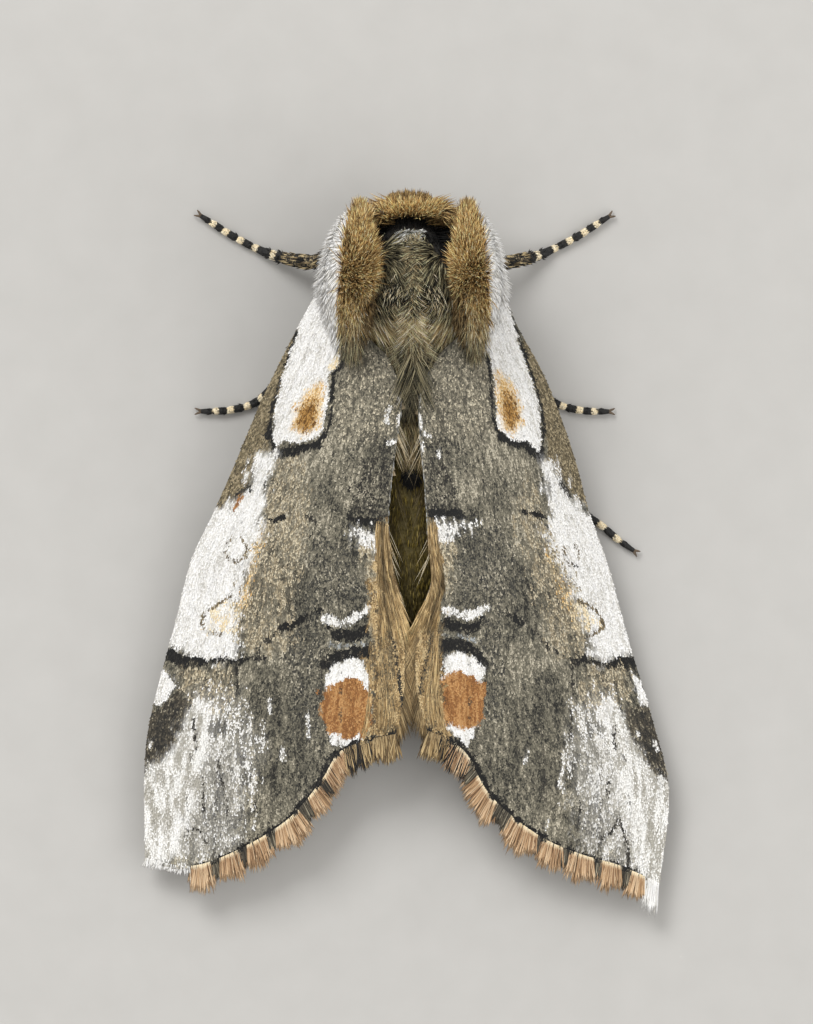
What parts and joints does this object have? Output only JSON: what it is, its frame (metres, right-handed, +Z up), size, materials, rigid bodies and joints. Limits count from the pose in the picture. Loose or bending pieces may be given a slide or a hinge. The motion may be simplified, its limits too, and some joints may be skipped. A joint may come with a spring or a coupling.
{
  "type": "moth",
  "caption": "Life-size still model of a thyatirine moth at rest, with a tufted thorax and patterned wings held roof-like over the body.",
  "frame": {"origin": "on the floor under the middle of the moth's overall box, level with the flats under its feet", "axes": "+Z up from the floor, +Y from the head towards the wing tips, +X towards the moth's left side"},
  "size_m": [0.017, 0.0235, 0.0064],
  "materials": {
    "brown_hair": "dense brown scale hair with golden tips",
    "grey_hair": "dense dark grey scale hair with pale tips",
    "belly_hair": "short dark olive-brown scale hair",
    "wing_scales": "matte overlapping scales, grey, white, black, tan and orange",
    "pale_scales": "matte pale fawn scales",
    "eye_shell": "glossy dark facets",
    "limb": "dark scaled cuticle with pale bands"
  },
  "bodies": {
    "root": {"head": "brown_hair", "collar": "brown_hair", "thorax": "grey_hair", "abdomen": "belly_hair", "eye_left": "eye_shell", "eye_right": "eye_shell", "palp_left": "brown_hair", "palp_right": "brown_hair", "antenna_left": "limb", "antenna_right": "limb", "tegula_left": "brown_hair", "tegula_right": "brown_hair", "forewing_left": "wing_scales", "forewing_right": "wing_scales", "hindwing_left": "pale_scales", "hindwing_right": "pale_scales", "leg_fore_left": "limb", "leg_fore_right": "limb", "leg_mid_left": "limb", "leg_mid_right": "limb", "leg_hind_left": "limb", "leg_hind_right": "limb"}
  },
  "joints": []
}
